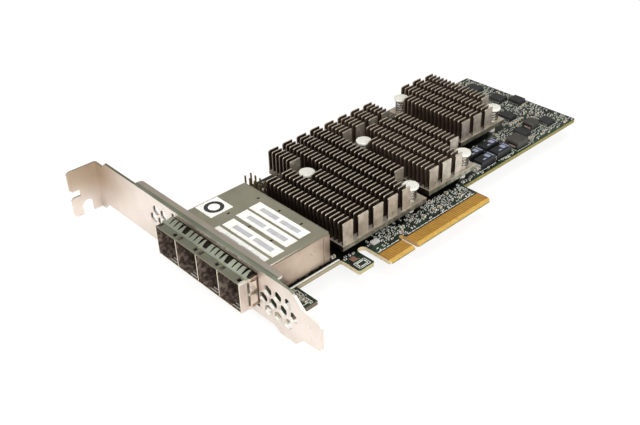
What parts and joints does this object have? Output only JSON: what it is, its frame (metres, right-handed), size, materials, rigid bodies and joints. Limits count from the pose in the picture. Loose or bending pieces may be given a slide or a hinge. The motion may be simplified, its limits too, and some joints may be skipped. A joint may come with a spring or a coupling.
{
  "type": "storage controller card",
  "caption": "Low storage controller card with a full-height bracket, a row of cable ports in one cage, and finned heatsinks held by sprung push pins",
  "frame": {"origin": "middle of the key notch at the lower edge of the gold fingers, half-way through the board", "axes": "+X along the card away from the bracket, +Y up the card from the gold fingers, +Z out of the component side"},
  "size_m": [0.1799, 0.1209, 0.0213],
  "materials": {
    "board": "satin",
    "gold": "satin",
    "plated_sheet": "satin",
    "spring_sheet": "satin",
    "spring_steel": "satin",
    "black_plastic": "matte",
    "brown_anodised": "matte",
    "white_plastic": "matte",
    "chip_body": "matte",
    "pad": "matte",
    "grey_ferrite": "matte",
    "tan_ceramic": "matte",
    "label_paper": "matte"
  },
  "bodies": {
    "root": {"circuit_board": "board", "front_edge_contacts": "gold", "back_edge_contacts": "gold", "io_bracket": "plated_sheet", "bracket_screws": "plated_sheet", "cage_shell": "plated_sheet", "cage_floor": "plated_sheet", "cage_rear_cover": "plated_sheet", "port_dividers": "plated_sheet", "spring_gasket": "spring_sheet", "port_receptacles": "black_plastic", "port_contacts": "gold", "near_heatsink": "brown_anodised", "middle_heatsink": "brown_anodised", "far_heatsink": "brown_anodised", "push_pins": "white_plastic", "push_pin_springs": "spring_steel", "near_chip": "chip_body", "middle_chip": "chip_body", "far_chip": "chip_body", "near_thermal_pad": "pad", "middle_thermal_pad": "pad", "far_thermal_pad": "pad", "header_base": "black_plastic", "header_pins": "gold", "bulk_capacitors": "chip_body", "inductors": "grey_ferrite", "regulator_chips": "chip_body", "support_chips": "chip_body", "ceramic_capacitors": "tan_ceramic", "cage_labels": "label_paper"}
  },
  "joints": []
}
